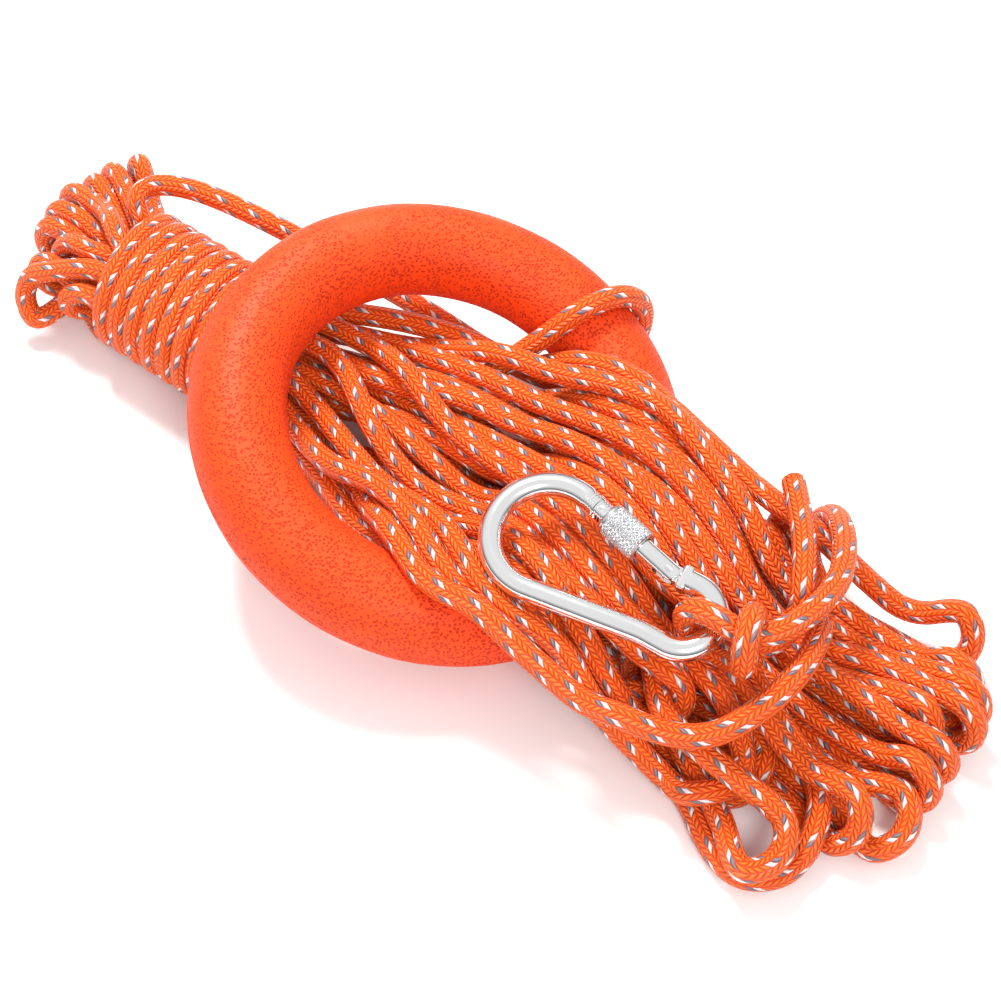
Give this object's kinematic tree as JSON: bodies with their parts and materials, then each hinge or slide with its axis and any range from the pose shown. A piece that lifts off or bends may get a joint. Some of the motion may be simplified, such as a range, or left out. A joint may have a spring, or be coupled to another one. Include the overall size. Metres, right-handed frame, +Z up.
{
  "type": "ring lifebuoy",
  "caption": "Small foam throw ring on a tied hank of floating reflective rope, with a screw-lock carabiner on the rope's end.",
  "frame": {"origin": "on the floor under the middle of the foam ring", "axes": "+X along the hank towards the free bights and the carabiner's knot, +Y across the hank, +Z up"},
  "size_m": [0.41, 0.1794, 0.0782],
  "materials": {
    "foam": "satin closed-cell foam, finely pitted",
    "rope": "braided, with white and grey reflective tracers",
    "polished_steel": "polished",
    "knurled_steel": "knurled",
    "rivet_steel": "plain",
    "spring_steel": "plain"
  },
  "bodies": {
    "ring_and_rope": {"float_ring": "foam", "rope_left_bights": "rope", "rope_tied_neck": "rope", "rope_wraps": "rope", "rope_under_ring": "rope", "rope_in_hole": "rope", "rope_over_ring": "rope", "rope_spread": "rope", "rope_right_bights": "rope", "rope_hitch": "rope", "rope_arc": "rope", "rope_crossing": "rope", "rope_standing": "rope", "rope_eye": "rope", "rope_knot": "rope", "rope_tail": "rope"},
    "carabiner": {"carabiner_body": "polished_steel"},
    "gate": {"carabiner_gate": "polished_steel", "gate_hinge_rivet": "rivet_steel", "gate_nose_pin": "rivet_steel", "gate_spring": "spring_steel"},
    "plunger": {"gate_plunger": "rivet_steel"},
    "sleeve": {"lock_sleeve": "knurled_steel"}
  },
  "joints": [
    {"name": "carabiner_lift", "type": "hinge", "parent": "ring_and_rope", "child": "carabiner", "pos_m": [0.1227, -0.02241, 0.05151], "axis": [-0.0695, 0.9621, 0.2636], "range_deg": [0, 95]},
    {"name": "gate_open", "type": "hinge", "parent": "carabiner", "child": "gate", "pos_m": [0.10093, -0.01411, 0.05554], "axis": [0.0802, -0.258, 0.9628], "range_deg": [0, 25], "stiffness_Nm_per_rad": 0.12, "springref_deg": -34.38},
    {"name": "plunger_travel", "type": "slide", "parent": "gate", "child": "plunger", "axis": [-0.9819, 0.1456, 0.1208], "range_m": [0, 0.00098], "deforming": ["gate_spring"]},
    {"name": "sleeve_screw", "type": "slide", "parent": "gate", "child": "sleeve", "axis": [0.9819, -0.1456, -0.1208], "range_m": [-0.0078, 0.009]}
  ],
  "couplings": [
    {"joint": "plunger_travel", "follows": "gate_open", "m_per_rad": 0.0021772}
  ]
}
